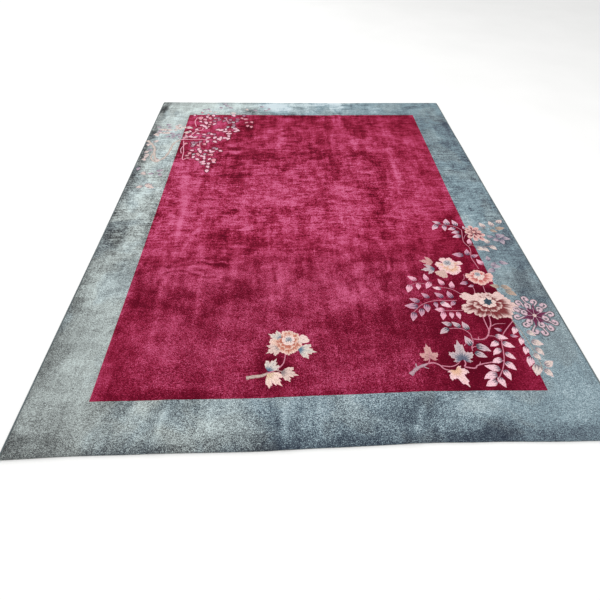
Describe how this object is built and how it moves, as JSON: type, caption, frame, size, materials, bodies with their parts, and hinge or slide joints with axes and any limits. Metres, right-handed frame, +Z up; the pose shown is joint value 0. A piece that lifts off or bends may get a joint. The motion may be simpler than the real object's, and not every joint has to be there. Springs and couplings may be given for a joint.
{
  "type": "hand-knotted pile rug",
  "caption": "Rectangular hand-knotted pile rug with a plain field, a wide plain border, low fold ridges and overcast side cords; it lies flat on a floor.",
  "frame": {"origin": "middle of the underside, on the floor", "axes": "+Z up out of the pile, +Y along the length away from the edge nearest the viewer, +X along the width to the viewer's right"},
  "size_m": [2.74, 3.66, 0.019],
  "materials": {
    "wool_pile": "lustrous cut wool pile in crimson, grey teal, cream, rose and slate",
    "overcast_wool": "matte overcast wool"
  },
  "bodies": {
    "root": {"rug": "wool_pile", "side_cord_left": "overcast_wool", "side_cord_right": "overcast_wool"}
  },
  "joints": []
}
